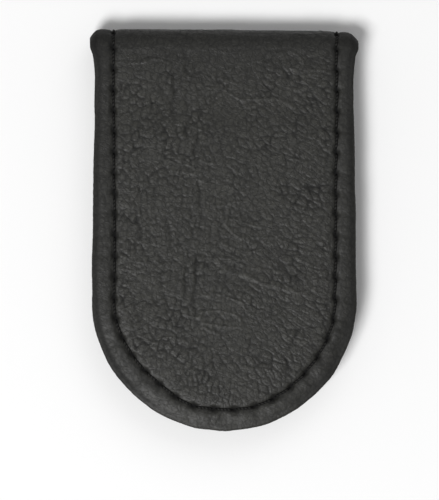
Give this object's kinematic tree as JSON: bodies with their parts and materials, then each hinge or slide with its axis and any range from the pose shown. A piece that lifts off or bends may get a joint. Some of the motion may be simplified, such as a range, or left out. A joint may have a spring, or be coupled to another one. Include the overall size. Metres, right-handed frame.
{
  "type": "money clip",
  "caption": "Folded leather money clip with stitched leaves that hold a stiff board and bar magnets, opening at a soft fold to grip folded notes.",
  "frame": {"origin": "under the middle of the closed clip, on the plane of the back leaf's outer face", "axes": "+X across the width, +Y towards the fold, +Z through the thickness from the back leaf to the front leaf"},
  "size_m": [0.0486, 0.073, 0.0075],
  "materials": {
    "outer_leather": "black pebble-grained leather, semi-matt, smoother and darker along its rolled edge and over the fold",
    "lining_leather": "thin smooth black lining leather, satin",
    "seam_thread": "black bonded polyester sewing thread, slightly waxed",
    "stay_tape": "dark woven reinforcing tape",
    "stiffener_board": "dark grey stiffener sheet, matt",
    "magnet_plating": "nickel plated magnet, satin"
  },
  "bodies": {
    "back_leaf": {"outer_cover_back": "outer_leather", "stiffener_back": "stiffener_board", "magnet_back_left": "magnet_plating", "magnet_back_right": "magnet_plating", "stay_tape_back": "stay_tape", "lining_back": "lining_leather", "needle_thread_back": "seam_thread", "bobbin_thread_back": "seam_thread"},
    "fold_lower": {"outer_cover_fold_lower": "outer_leather", "stay_tape_fold_lower": "stay_tape", "lining_fold_lower": "lining_leather", "needle_thread_fold_lower_left": "seam_thread", "needle_thread_fold_lower_right": "seam_thread", "bobbin_thread_fold_lower_left": "seam_thread", "bobbin_thread_fold_lower_right": "seam_thread"},
    "fold_upper": {"outer_cover_fold_upper": "outer_leather", "stay_tape_fold_upper": "stay_tape", "lining_fold_upper": "lining_leather", "needle_thread_fold_upper_left": "seam_thread", "needle_thread_fold_upper_right": "seam_thread", "bobbin_thread_fold_upper_left": "seam_thread", "bobbin_thread_fold_upper_right": "seam_thread"},
    "front_leaf": {"outer_cover_front": "outer_leather", "stiffener_front": "stiffener_board", "magnet_front_left": "magnet_plating", "magnet_front_right": "magnet_plating", "stay_tape_front": "stay_tape", "lining_front": "lining_leather", "needle_thread_front": "seam_thread", "bobbin_thread_front": "seam_thread"}
  },
  "joints": [
    {"name": "fold_hinge_lower", "type": "hinge", "parent": "back_leaf", "child": "fold_lower", "pos_m": [0, 0.03445, 0.00081], "axis": [-1, 0, 0], "range_deg": [0, 60], "stiffness_Nm_per_rad": 0.008},
    {"name": "fold_hinge_middle", "type": "hinge", "parent": "fold_lower", "child": "fold_upper", "pos_m": [0, 0.03615, 0.00375], "axis": [-1, 0, 0], "range_deg": [0, 60], "stiffness_Nm_per_rad": 0.008},
    {"name": "fold_hinge_upper", "type": "hinge", "parent": "fold_upper", "child": "front_leaf", "pos_m": [0, 0.03445, 0.00669], "axis": [-1, 0, 0], "range_deg": [0, 60], "stiffness_Nm_per_rad": 0.008}
  ],
  "couplings": [
    {"joint": "fold_hinge_lower", "follows": "fold_hinge_middle", "ratio": 1},
    {"joint": "fold_hinge_upper", "follows": "fold_hinge_middle", "ratio": 1}
  ]
}
